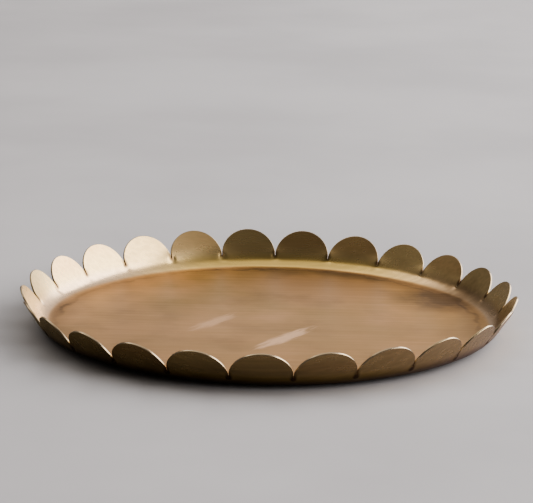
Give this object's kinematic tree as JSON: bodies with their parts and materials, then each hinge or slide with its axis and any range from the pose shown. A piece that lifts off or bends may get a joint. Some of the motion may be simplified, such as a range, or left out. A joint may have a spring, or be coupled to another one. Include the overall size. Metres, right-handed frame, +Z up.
{
  "type": "round tray",
  "caption": "Shallow round sheet-brass tray: flat base, rounded heel and a wall that leans outwards, cut into half-round petals; stands on low rubber feet.",
  "frame": {"origin": "on the surface the tray stands on, under the middle of its base", "axes": "+Z up, out of the tray's open side; one petal is centred on -Y, the tray's front"},
  "size_m": [0.2982, 0.3005, 0.0252],
  "materials": {
    "aged_brass": "satin, brushed in straight lines and lightly aged to a warm brown",
    "foot_rubber": "matt black"
  },
  "bodies": {
    "root": {"tray_pan": "aged_brass", "rubber_foot_1": "foot_rubber", "rubber_foot_2": "foot_rubber", "rubber_foot_3": "foot_rubber", "rubber_foot_4": "foot_rubber"}
  },
  "joints": []
}
